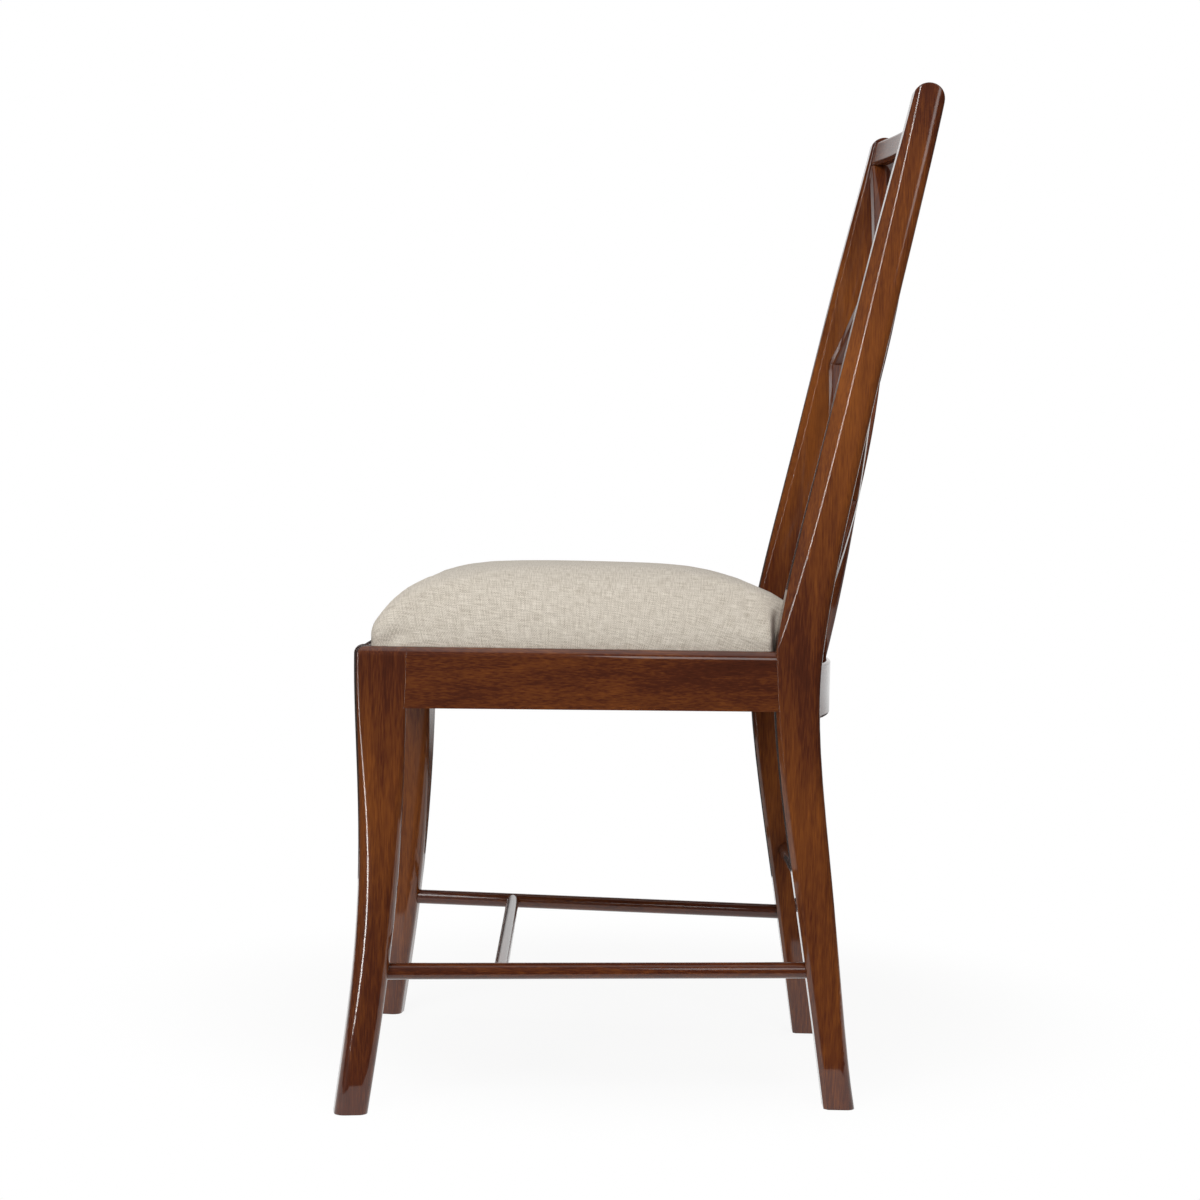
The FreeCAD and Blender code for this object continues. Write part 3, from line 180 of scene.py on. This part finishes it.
def lacquered_mahogany(name, along, wood, arris, painted_light_and_shade=()):
    """Stained mahogany, planed and sprayed with clear gloss lacquer.

    It gives the eye red brown bands with amber figure, dark pores along the piece, and a hard wet shine
    that runs along the eased edges. Real pores are about 0.2 mm wide, and are drawn as wider streaks so
    that they show. The painted light and shade, as (height, tone) stops, darkens tall pieces with painted
    shade at some heights and leaves their middle amber as painted light."""
    material, tree, place = new_material(name)
    upright = Vector(along).normalized().rotation_difference(Vector((0, 0, 1))).to_euler()
    turned = add(
        tree, "ShaderNodeVectorRotate", {"Vector": place, "Rotation": upright}, rotation_type="EULER_XYZ"
    ).outputs["Vector"]
    streaks = []
    for width, length, detail, distortion in (
        (wood.figure_width, wood.figure_length, 3.0, 0.9),
        (wood.grain_width, wood.grain_length, 2.0, 0.2),
        (wood.cloud_width, wood.cloud_length, 1.0, 0.0),
    ):
        cell = {0: turned, 1: (width, width, length)}
        stretched = add(tree, "ShaderNodeVectorMath", cell, operation="DIVIDE").outputs["Vector"]
        pattern = {"Vector": stretched, "Scale": 1.0, "Detail": detail, "Distortion": distortion}
        streaks.append(add(tree, "ShaderNodeTexNoise", pattern).outputs["Fac"])
    figure, grain, cloud = streaks
    bands = add(tree, "ShaderNodeMix", {"Factor": 0.45, "A": figure, "B": cloud}).outputs[0]
    tone = add(tree, "ShaderNodeMix", {"Factor": 0.40, "A": bands, "B": grain}).outputs[0]
    shade = wood.tone
    # Painted light and shade: a ramp on height darkens tall pieces where shade falls, at the feet, the seat
    # and the top, and lightens them where light falls in the middle.
    if painted_light_and_shade:
        height = add(tree, "ShaderNodeSeparateXYZ", {"Vector": place}).outputs["Z"]
        stops = [(level, (value, value, value, 1)) for level, value in painted_light_and_shade]
        shade = add(tree, "ShaderNodeValToRGB", {"Fac": height}, stops).outputs["Color"]
    tone = add(tree, "ShaderNodeMix", {"Factor": 0.38, "A": tone, "B": shade}).outputs[0]
    stops = [(0.30, wood.dark), (0.46, wood.middle), (0.66, wood.light)]
    stain = add(tree, "ShaderNodeValToRGB", {"Fac": tone}, stops).outputs["Color"]
    eased = add(tree, "ShaderNodeBevel", {"Radius": arris}, samples=6).outputs["Normal"]
    pores = add(
        tree, "ShaderNodeBump", {"Strength": 0.05, "Distance": 0.2 * MM, "Height": grain, "Normal": eased}
    ).outputs["Normal"]
    shader = add(
        tree,
        "ShaderNodeBsdfPrincipled",
        {
            "Base Color": stain,
            "Roughness": 0.45,
            "IOR": 1.5,
            "Specular IOR Level": 0.08,
            "Normal": pores,
            "Coat Weight": 1.0,
            "Coat Roughness": 0.05,
            "Coat IOR": 1.5,
            "Coat Normal": eased,
        },
    )
    add(tree, "ShaderNodeOutputMaterial", {"Surface": shader.outputs["BSDF"]})
    return material


def sawn_softwood(name):
    """Sawn pine and plywood, left bare under the seat: pale and dull, with soft growth lines."""
    material, tree, place = new_material(name)
    line_width, line_length = 3 * MM, 60 * MM
    cell = {0: place, 1: (line_length, line_width, line_width)}
    stretched = add(tree, "ShaderNodeVectorMath", cell, operation="DIVIDE").outputs["Vector"]
    pattern = {"Vector": stretched, "Scale": 1.0, "Detail": 3.0, "Distortion": 0.4}
    growth = add(tree, "ShaderNodeTexNoise", pattern).outputs["Fac"]
    stops = [(0.3, linear("#a07c50")), (0.7, linear("#cfb083"))]
    pale = add(tree, "ShaderNodeValToRGB", {"Fac": growth}, stops).outputs["Color"]
    ridges = add(tree, "ShaderNodeBump", {"Strength": 0.2, "Distance": 0.3 * MM, "Height": growth})
    shader = add(
        tree,
        "ShaderNodeBsdfPrincipled",
        {"Base Color": pale, "Roughness": 0.75, "IOR": 1.5, "Normal": ridges.outputs["Normal"]},
    )
    add(tree, "ShaderNodeOutputMaterial", {"Surface": shader.outputs["BSDF"]})
    return material


def zinc_plated_steel(name):
    """Turned steel with a zinc plating: a grey metal, slightly clouded."""
    material, tree, place = new_material(name)
    cloud = 2 * MM
    clouded = add(tree, "ShaderNodeTexNoise", {"Vector": place, "Scale": 1 / cloud}).outputs["Fac"]
    stops = [(0.3, linear("#8f8b80")), (0.7, linear("#bab6ab"))]
    grey = add(tree, "ShaderNodeValToRGB", {"Fac": clouded}, stops).outputs["Color"]
    plated = {"Base Color": grey, "Metallic": 1.0, "Roughness": 0.32}
    shader = add(tree, "ShaderNodeBsdfPrincipled", plated)
    add(tree, "ShaderNodeOutputMaterial", {"Surface": shader.outputs["BSDF"]})
    return material


def felted_lining(name):
    """Black spun-bonded lining: dull, with a felted mottle of fibres drawn coarser than the real ones."""
    material, tree, place = new_material(name)
    tuft = 2.5 * MM
    pattern = {"Vector": place, "Scale": 1 / tuft, "Detail": 4.0, "Distortion": 1.5}
    fibres = add(tree, "ShaderNodeTexNoise", pattern).outputs["Fac"]
    stops = [(0.3, linear("#131313")), (0.7, linear("#2c2c2c"))]
    black = add(tree, "ShaderNodeValToRGB", {"Fac": fibres}, stops).outputs["Color"]
    nap = add(tree, "ShaderNodeBump", {"Strength": 0.3, "Distance": 0.2 * MM, "Height": fibres})
    felted = {"Base Color": black, "Roughness": 0.95, "Normal": nap.outputs["Normal"]}
    shader = add(tree, "ShaderNodeBsdfPrincipled", felted)
    add(tree, "ShaderNodeOutputMaterial", {"Surface": shader.outputs["BSDF"]})
    return material


def plain_weave_linen(name, seat):
    """Unbleached linen, plain woven from slubby yarn.

    It gives the eye a dry, pale oatmeal cloth of crossing threads with thick and thin stretches. The real
    threads lie about 0.9 mm apart, and are drawn a little further apart so that they show."""
    material, tree, _ = new_material(name)
    cloth = add(tree, "ShaderNodeAttribute", attribute_name="weave").outputs["Vector"]
    axes = add(tree, "ShaderNodeSeparateXYZ", {"Vector": cloth}).outputs
    slubs = []
    for width, length in ((seat.thread, seat.slub), (seat.slub, seat.thread)):
        cell = {0: cloth, 1: (width, length, 1.0)}
        stretched = add(tree, "ShaderNodeVectorMath", cell, operation="DIVIDE").outputs["Vector"]
        slubs.append(add(tree, "ShaderNodeTexNoise", {"Vector": stretched, "Scale": 1.0}).outputs["Fac"])
    warp, weft = slubs
    waves = []
    for axis in ("X", "Y"):
        turns = add(tree, "ShaderNodeMath", {0: axes[axis], 1: math.pi / seat.thread}, operation="MULTIPLY")
        waves.append(add(tree, "ShaderNodeMath", {0: turns.outputs[0]}, operation="SINE").outputs[0])
    crossing = add(tree, "ShaderNodeMath", {0: waves[0], 1: waves[1]}, operation="MULTIPLY").outputs[0]
    over = add(
        tree, "ShaderNodeMapRange", {"Value": crossing, "From Min": -0.6, "From Max": 0.6}
    ).outputs[0]
    yarn = add(tree, "ShaderNodeMix", {"Factor": over, "A": warp, "B": weft}).outputs[0]
    tone = add(tree, "ShaderNodeMix", {"Factor": 0.12, "A": yarn, "B": over}).outputs[0]
    stops = [(0.30, seat.linen_shade), (0.62, seat.linen)]
    flax = add(tree, "ShaderNodeValToRGB", {"Fac": tone}, stops).outputs["Color"]
    threads = add(tree, "ShaderNodeBump", {"Strength": 0.4, "Distance": 0.3 * MM, "Height": yarn})
    shader = add(
        tree,
        "ShaderNodeBsdfPrincipled",
        {
            "Base Color": flax,
            "Roughness": 0.92,
            "Specular IOR Level": 0.25,
            "Normal": threads.outputs["Normal"],
            "Sheen Weight": 0.15,
            "Sheen Roughness": 0.5,
        },
    )
    add(tree, "ShaderNodeOutputMaterial", {"Surface": shader.outputs["BSDF"]})
    return material


def painted_floor(name, paint):
    """Matt white paint. It keeps the chair's soft shadow, and to the eye and in reflections it fades into
    the white surroundings."""
    material, tree, place = new_material(name)
    # The shadow is kept round this place, and fades out towards the white.
    shaded = (-0.3, 0, 0)
    reach = add(tree, "ShaderNodeVectorMath", {0: place, 1: shaded}, operation="DISTANCE").outputs["Value"]
    fade = add(
        tree,
        "ShaderNodeMapRange",
        {"Value": reach, "From Min": 0.30, "From Max": 0.66, "To Min": 0.90, "To Max": 1.0},
        interpolation_type="SMOOTHSTEP",
    ).outputs[0]
    path = add(tree, "ShaderNodeLightPath").outputs
    seen = path["Is Camera Ray"]
    for ray in ("Is Glossy Ray", "Is Transmission Ray"):
        seen = add(tree, "ShaderNodeMath", {0: seen, 1: path[ray]}, operation="MAXIMUM").outputs[0]
    white = add(tree, "ShaderNodeMath", {0: seen, 1: fade}, operation="MULTIPLY").outputs[0]
    matt = add(tree, "ShaderNodeBsdfDiffuse", {"Color": paint}).outputs["BSDF"]
    glow = add(tree, "ShaderNodeEmission", {"Color": (1, 1, 1, 1), "Strength": 1.0}).outputs["Emission"]
    mixed = add(tree, "ShaderNodeMixShader", {"Fac": white, 1: matt, 2: glow})
    add(tree, "ShaderNodeOutputMaterial", {"Surface": mixed.outputs["Shader"]})
    return material


def dress(material, *nodes):
    """Give CAD nodes one material."""
    for node in nodes:
        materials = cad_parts[node].data.materials
        materials.clear()
        materials.append(material)


def slope(bar, sideways):
    """The way a trellis bar runs: the diagonal of its box that leans to the given side."""
    low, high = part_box(bar)
    span = high - low
    return Vector((sideways * span.x, span.y, span.z))


def adopt(piece, slot, *replaced):
    """A new piece stands for CAD nodes, on the chair's one body."""
    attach(piece, "root")
    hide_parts(*replaced)


def apply_modifiers(piece):
    """Turn the modifiers of a piece into its mesh."""
    depsgraph = bpy.context.evaluated_depsgraph_get()
    mesh = bpy.data.meshes.new_from_object(piece.evaluated_get(depsgraph))
    piece.modifiers.clear()
    piece.data = mesh


class CHAIR_OT_finish_legs(bpy.types.Operator):
    """Lacquer the legs and back posts, with upright grain"""

    bl_idname = "chair.finish_legs"
    bl_label = "Finish Legs"

    def execute(self, context):
        wood = context.scene.chair_wood
        # The legs and posts get painted shade at the feet, the seat and the top, and painted light between.
        upright = lacquered_mahogany("lacquered_mahogany_legs", (0, 0, 1), wood, wood.arris, LEG_PAINTED_LIGHT_AND_SHADE)
        dress(upright, "front_leg_left", "front_leg_right", "rear_leg_left", "rear_leg_right")
        return {"FINISHED"}


class CHAIR_OT_finish_rails(bpy.types.Operator):
    """Lacquer the seat rails and the crest rail, with the grain along each"""

    bl_idname = "chair.finish_rails"
    bl_label = "Finish Rails"

    def execute(self, context):
        wood = context.scene.chair_wood
        crosswise = lacquered_mahogany("lacquered_mahogany_cross_rails", (1, 0, 0), wood, wood.rail_arris)
        dress(crosswise, "front_seat_rail", "rear_seat_rail", "crest_rail")
        lengthwise = lacquered_mahogany("lacquered_mahogany_side_rails", (0, 1, 0), wood, wood.rail_arris)
        dress(lengthwise, "side_rail_left", "side_rail_right")
        return {"FINISHED"}


class CHAIR_OT_finish_trellis(bpy.types.Operator):
    """Lacquer the trellis bars, with the grain along each"""

    bl_idname = "chair.finish_trellis"
    bl_label = "Finish Trellis"

    def execute(self, context):
        wood = context.scene.chair_wood
        for bar, sideways in (
            ("cross_bar_rising", 1),
            ("cross_bar_falling", -1),
            ("diamond_upper_left", -1),
            ("diamond_upper_right", 1),
            ("diamond_lower_left", 1),
            ("diamond_lower_right", -1),
        ):
            along = slope(bar, sideways)
            dress(lacquered_mahogany(f"lacquered_mahogany_{bar}", along, wood, wood.arris), bar)
        return {"FINISHED"}


class CHAIR_OT_finish_stretchers(bpy.types.Operator):
    """Lacquer the round stretchers between the legs"""

    bl_idname = "chair.finish_stretchers"
    bl_label = "Finish Stretchers"

    def execute(self, context):
        wood = context.scene.chair_wood
        crosswise = lacquered_mahogany("lacquered_mahogany_cross_stretchers", (1, 0, 0), wood, wood.arris)
        dress(crosswise, "cross_stretcher", "rear_stretcher")
        lengthwise = lacquered_mahogany("lacquered_mahogany_side_stretchers", (0, 1, 0), wood, wood.arris)
        dress(lengthwise, "side_stretcher_left", "side_stretcher_right")
        return {"FINISHED"}


class CHAIR_OT_finish_underside(bpy.types.Operator):
    """Finish the blocks, board and screws under the seat"""

    bl_idname = "chair.finish_underside"
    bl_label = "Finish Underside"

    def execute(self, context):
        bare = sawn_softwood("sawn_softwood")
        dress(bare, "seat_board")
        for side in ("left", "right"):
            dress(bare, f"front_corner_block_{side}", f"rear_corner_block_{side}")
        dress(zinc_plated_steel("zinc_plated_steel"), "corner_block_screws", "seat_screws")
        return {"FINISHED"}


class CHAIR_OT_upholster_seat(bpy.types.Operator):
    """Stuff the seat and stretch the linen over it"""

    bl_idname = "chair.upholster_seat"
    bl_label = "Upholster Seat"

    def execute(self, context):
        seat = context.scene.chair_seat
        cushion = self.wrap(context, seat)
        self.stuff(context, cushion, seat)
        cushion.modifiers.new("soften", "SUBSURF").levels = 1
        apply_modifiers(cushion)
        cushion.data.shade_smooth()
        self.lay_weave(cushion)
        cushion.data.materials.append(plain_weave_linen("plain_weave_linen", seat))
        adopt(cushion, "seat_fabric", "seat_cover", "seat_foam")
        return {"FINISHED"}

    def wrap(self, context, seat):
        """One skin round the foam and over the edge of the board, held fast below the tuck."""
        layers = bmesh.new()
        for node in ("seat_cover", "seat_foam", "seat_board"):
            layers.from_mesh(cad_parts[node].data)
        cushion = bpy.data.objects.new("seat_cushion", bpy.data.meshes.new("seat_cushion"))
        layers.to_mesh(cushion.data)
        layers.free()
        context.scene.collection.objects.link(cushion)
        remesh = cushion.modifiers.new("remesh", "REMESH")
        remesh.mode = "VOXEL"
        remesh.voxel_size = seat.voxel
        apply_modifiers(cushion)
        low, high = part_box("seat_board")
        held = cushion.vertex_groups.new(name="tacked_edge")
        for vertex in cushion.data.vertices:
            if vertex.co.z < high.z + seat.tuck:
                held.add([vertex.index], 1.0, "REPLACE")
                vertex.co += Vector((vertex.normal.x, vertex.normal.y, 0)) * seat.rim
            vertex.co.z = max(vertex.co.z, low.z + seat.turn_under)
        smooth = cushion.modifiers.new("smooth", "SMOOTH")
        smooth.factor = 0.5
        smooth.iterations = 3
        smooth.vertex_group = held.name
        smooth.invert_vertex_group = True
        apply_modifiers(cushion)
        return cushion

    def stuff(self, context, cushion, seat):
        """Blow the sides out by pressure, no further than the swell; the crown keeps its height."""
        start = [v.co.copy() for v in cushion.data.vertices]
        cloth = cushion.modifiers.new("cover", "CLOTH").settings
        cloth.vertex_group_mass = "tacked_edge"
        cloth.use_pressure = True
        cloth.uniform_pressure_force = 4.0
        cloth.effector_weights.gravity = 0.0
        settling_frames = 20
        for step in range(1, settling_frames + 1):
            context.scene.frame_set(step)
        apply_modifiers(cushion)
        context.scene.frame_set(1)
        for vertex, was in zip(cushion.data.vertices, start):
            sideways = Vector((vertex.co.x - was.x, vertex.co.y - was.y, 0))
            vertex.co = was + sideways.normalized() * min(sideways.length, seat.swell)
        cushion.data.update()

    def lay_weave(self, cushion):
        """Store where each point of the cover lies in the flat cloth: its distance from the crown, measured
        over the surface, in its own direction."""
        points = [v.co.copy() for v in cushion.data.vertices]
        skin = BVHTree.FromPolygons(points, [p.vertices for p in cushion.data.polygons])
        crown = max(points, key=lambda point: point.z)
        core_height = 5 * MM
        core = Vector((0, crown.y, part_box("seat_board")[1].z + core_height))
        # Rays fan out from the core in many headings, each fan from straight up to a little below level.
        headings, drops = 180, 90
        upright, sweep = math.pi / 2, 0.55 * math.pi
        reach = [[0.0] * drops for _ in range(headings)]
        for index, run in enumerate(reach):
            heading = index * 2 * math.pi / headings
            last = None
            for drop in range(drops):
                tilt = upright - sweep * drop / (drops - 1)
                level = Vector((math.cos(heading), math.sin(heading), 0)) * math.cos(tilt)
                point = skin.ray_cast(core, level + Vector((0, 0, math.sin(tilt))))[0] or last
                if drop:
                    run[drop] = run[drop - 1] + (point - last).length
                last = point
        weave = cushion.data.attributes.new("weave", "FLOAT_VECTOR", "POINT")
        for point, laid in zip(points, weave.data):
            offset = point - core
            tilt = math.atan2(offset.z, math.hypot(offset.x, offset.y))
            heading = math.atan2(offset.y, offset.x) % (2 * math.pi)
            drop = min(max((upright - tilt) / sweep * (drops - 1), 0), drops - 1.001)
            turn = heading / (2 * math.pi) * headings
            step, part = int(drop), drop - int(drop)
            sides = [reach[(int(turn) + side) % headings] for side in (0, 1)]
            ends = [run[step] * (1 - part) + run[step + 1] * part for run in sides]
            length = ends[0] + (ends[1] - ends[0]) * (turn - int(turn))
            laid.vector = (length * math.cos(heading), length * math.sin(heading), 0)


class CHAIR_OT_line_seat(bpy.types.Operator):
    """Tack the black lining under the seat board"""

    bl_idname = "chair.line_seat"
    bl_label = "Line Seat"

    def execute(self, context):
        seat = context.scene.chair_seat
        low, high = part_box("dust_cover")
        lining = bpy.data.objects.new("seat_lining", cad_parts["dust_cover"].data.copy())
        context.scene.collection.objects.link(lining)
        sheet = bmesh.new()
        sheet.from_mesh(lining.data)
        bmesh.ops.delete(sheet, geom=[f for f in sheet.faces if f.normal.z > -0.9], context="FACES")
        bmesh.ops.remove_doubles(sheet, verts=sheet.verts, dist=0.01 * MM)
        area = sum(face.calc_area() for face in sheet.faces)
        span = high - low
        strips = 24
        for across in (Vector((1, 0, 0)), Vector((0, 1, 0))):
            for step in range(1, strips):
                place = low + span * (step / strips)
                geometry = sheet.verts[:] + sheet.edges[:] + sheet.faces[:]
                bmesh.ops.bisect_plane(sheet, geom=geometry, plane_co=place, plane_no=across)
        centre, half = low + span / 2, span / 2
        for vert in sheet.verts:
            x, y = (vert.co.x - centre.x) / half.x, (vert.co.y - centre.y) / half.y
            vert.co.z = high.z - seat.lining_sag * max(0, 1 - x * x) * max(0, 1 - y * y)
        sheet.to_mesh(lining.data)
        sheet.free()
        lining.data.materials.clear()
        lining.data.materials.append(felted_lining("felted_lining"))
        lining.data.shade_smooth()
        adopt(lining, "lining_cloth", "dust_cover")
        return {"FINISHED"}


class CHAIR_OT_set_stage(bpy.types.Operator):
    """Set the pale floor, the soft studio light and the camera"""

    bl_idname = "chair.set_stage"
    bl_label = "Set Stage"

    def execute(self, context):
        scene, stage = context.scene, context.scene.chair_stage
        scene.view_settings.view_transform = "Standard"
        self.lay_floor(scene, stage)
        self.light_surroundings(scene)
        self.hang_lamp("key_softbox", (2.2, -1.0, 2.1), (1.4, 1.0), stage.key_power)
        edge_strip = self.hang_lamp("edge_strip", (1.87, -1.26, 0.8), (0.28, 1.9), stage.edge_power)
        edge_strip.visible_diffuse = False
        self.hang_lamp("top_panel", (0.2, 0.0, 2.7), (2.4, 2.4), stage.top_power)
        self.hang_lamp("fill_softbox", (2.3, 1.2, 1.5), (1.0, 1.0), stage.fill_power)
        self.place_camera(scene, stage)
        return {"FINISHED"}

    def lay_floor(self, scene, stage):
        """A sheet of floor under the chair. It ends close before the near feet, so that the glossy legs don't
        mirror a wide white floor."""
        mesh = bpy.data.meshes.new("floor")
        near, far, side = 0.36, -1.2, 1.2
        corners = [(near, -side, 0), (near, side, 0), (far, side, 0), (far, -side, 0)]
        mesh.from_pydata(corners, [], [(0, 1, 2, 3)])
        mesh.materials.append(painted_floor("painted_floor", stage.floor))
        floor = bpy.data.objects.new("floor", mesh)
        scene.collection.objects.link(floor)

    def light_surroundings(self, scene):
        """White surroundings to the eye. In reflections the white is a backdrop on the far side, with a dark
        flag before the lower part of its front half and a dark foot."""
        world = bpy.data.worlds.new("studio")
        scene.world = world
        world.use_nodes = True
        tree = world.node_tree
        tree.nodes.clear()
        towards = add(tree, "ShaderNodeTexCoord").outputs["Generated"]
        axes = add(tree, "ShaderNodeSeparateXYZ", {"Vector": towards}).outputs
        # Each edge of the backdrop turns from dark to bright along one axis of the direction looked in.
        edges = []
        for axis, dark, bright in (
            ("X", -0.76, -0.86),
            ("Y", -0.05, 0.0),
            ("Z", 0.08, 0.16),
            ("Z", -0.11, -0.07),
        ):
            limits = {"Value": axes[axis], "From Min": dark, "From Max": bright}
            edges.append(add(tree, "ShaderNodeMapRange", limits).outputs[0])
        far, behind, above_flag, above_foot = edges
        backdrop = add(tree, "ShaderNodeMath", {0: behind, 1: above_flag}, operation="MAXIMUM").outputs[0]
        for edge in (above_foot, far):
            backdrop = add(tree, "ShaderNodeMath", {0: backdrop, 1: edge}, operation="MULTIPLY").outputs[0]
        backdrop_level, flag_level, ambient_level = 0.9, 0.03, 0.35
        levels = {0: backdrop, 1: backdrop_level, 2: flag_level}
        mirrored = add(tree, "ShaderNodeMath", levels, operation="MULTIPLY_ADD").outputs[0]
        path = add(tree, "ShaderNodeLightPath").outputs
        rays = {0: path["Is Glossy Ray"], 1: path["Is Transmission Ray"]}
        reflected = add(tree, "ShaderNodeMath", rays, operation="MAXIMUM").outputs[0]
        blend = {"Factor": reflected, "A": ambient_level, "B": mirrored}
        level = add(tree, "ShaderNodeMix", blend).outputs[0]
        seen = path["Is Camera Ray"]
        shown = add(tree, "ShaderNodeMix", {"Factor": seen, "A": level, "B": 1.0}).outputs[0]
        background = add(tree, "ShaderNodeBackground", {"Color": (1, 1, 1, 1), "Strength": shown})
        add(tree, "ShaderNodeOutputWorld", {"Surface": background.outputs["Background"]})

    def hang_lamp(self, name, place, spread, watts):
        """A rectangular lamp turned towards the seat; gives back its holder."""
        lamp = bpy.data.lights.new(name, "AREA")
        lamp.shape = "RECTANGLE"
        lamp.size, lamp.size_y = spread
        lamp.energy = watts
        holder = bpy.data.objects.new(name, lamp)
        holder.location = place
        seat = Vector((0, 0, 0.5))
        holder.rotation_euler = (seat - Vector(place)).to_track_quat("-Z", "Y").to_euler()
        bpy.context.scene.collection.objects.link(holder)
        return holder

    def place_camera(self, scene, stage):
        """The camera of the photograph, square on to the chair's left side."""
        lens = bpy.data.cameras.new("photo_camera")
        lens.sensor_width = 36
        lens.lens = stage.lens / MM
        camera = bpy.data.objects.new("photo_camera", lens)
        ahead = Vector(
            (
                -math.cos(stage.yaw) * math.cos(stage.pitch),
                math.sin(stage.yaw) * math.cos(stage.pitch),
                -math.sin(stage.pitch),
            )
        )
        camera.rotation_mode = "QUATERNION"
        camera.rotation_quaternion = ahead.to_track_quat("-Z", "Y") @ Quaternion((0, 0, 1), stage.roll)
        camera.location = stage.camera_position
        scene.collection.objects.link(camera)
        scene.camera = camera


OPERATORS = (
    CHAIR_OT_finish_legs,
    CHAIR_OT_finish_rails,
    CHAIR_OT_finish_trellis,
    CHAIR_OT_finish_stretchers,
    CHAIR_OT_finish_underside,
    CHAIR_OT_upholster_seat,
    CHAIR_OT_line_seat,
    CHAIR_OT_set_stage,
)
GROUPS = {"chair_wood": ChairWood, "chair_seat": ChairSeat, "chair_stage": ChairStage}


class CHAIR_PT_sidebar(bpy.types.Panel):
    """Sizes, colours and steps of the chair"""

    bl_idname = "CHAIR_PT_sidebar"
    bl_label = "Trellis Back Side Chair"
    bl_space_type = "VIEW_3D"
    bl_region_type = "UI"
    bl_category = "Chair"

    def draw(self, context):
        for name, group in GROUPS.items():
            box = self.layout.box()
            for prop in group.__annotations__:
                box.prop(getattr(context.scene, name), prop)
        for operator in OPERATORS:
            self.layout.operator(operator.bl_idname)


def register():
    for cls in (*GROUPS.values(), *OPERATORS, CHAIR_PT_sidebar):
        bpy.utils.register_class(cls)
    for name, group in GROUPS.items():
        setattr(bpy.types.Scene, name, bpy.props.PointerProperty(type=group))


def unregister():
    for name in GROUPS:
        delattr(bpy.types.Scene, name)
    for cls in (CHAIR_PT_sidebar, *reversed(OPERATORS), *GROUPS.values()):
        bpy.utils.unregister_class(cls)


def main():
    register()
    bpy.ops.chair.finish_legs()
    bpy.ops.chair.finish_rails()
    bpy.ops.chair.finish_trellis()
    bpy.ops.chair.finish_stretchers()
    bpy.ops.chair.finish_underside()
    bpy.ops.chair.upholster_seat()
    bpy.ops.chair.line_seat()
    bpy.ops.chair.set_stage()


if __name__ == "__main__":
    main()
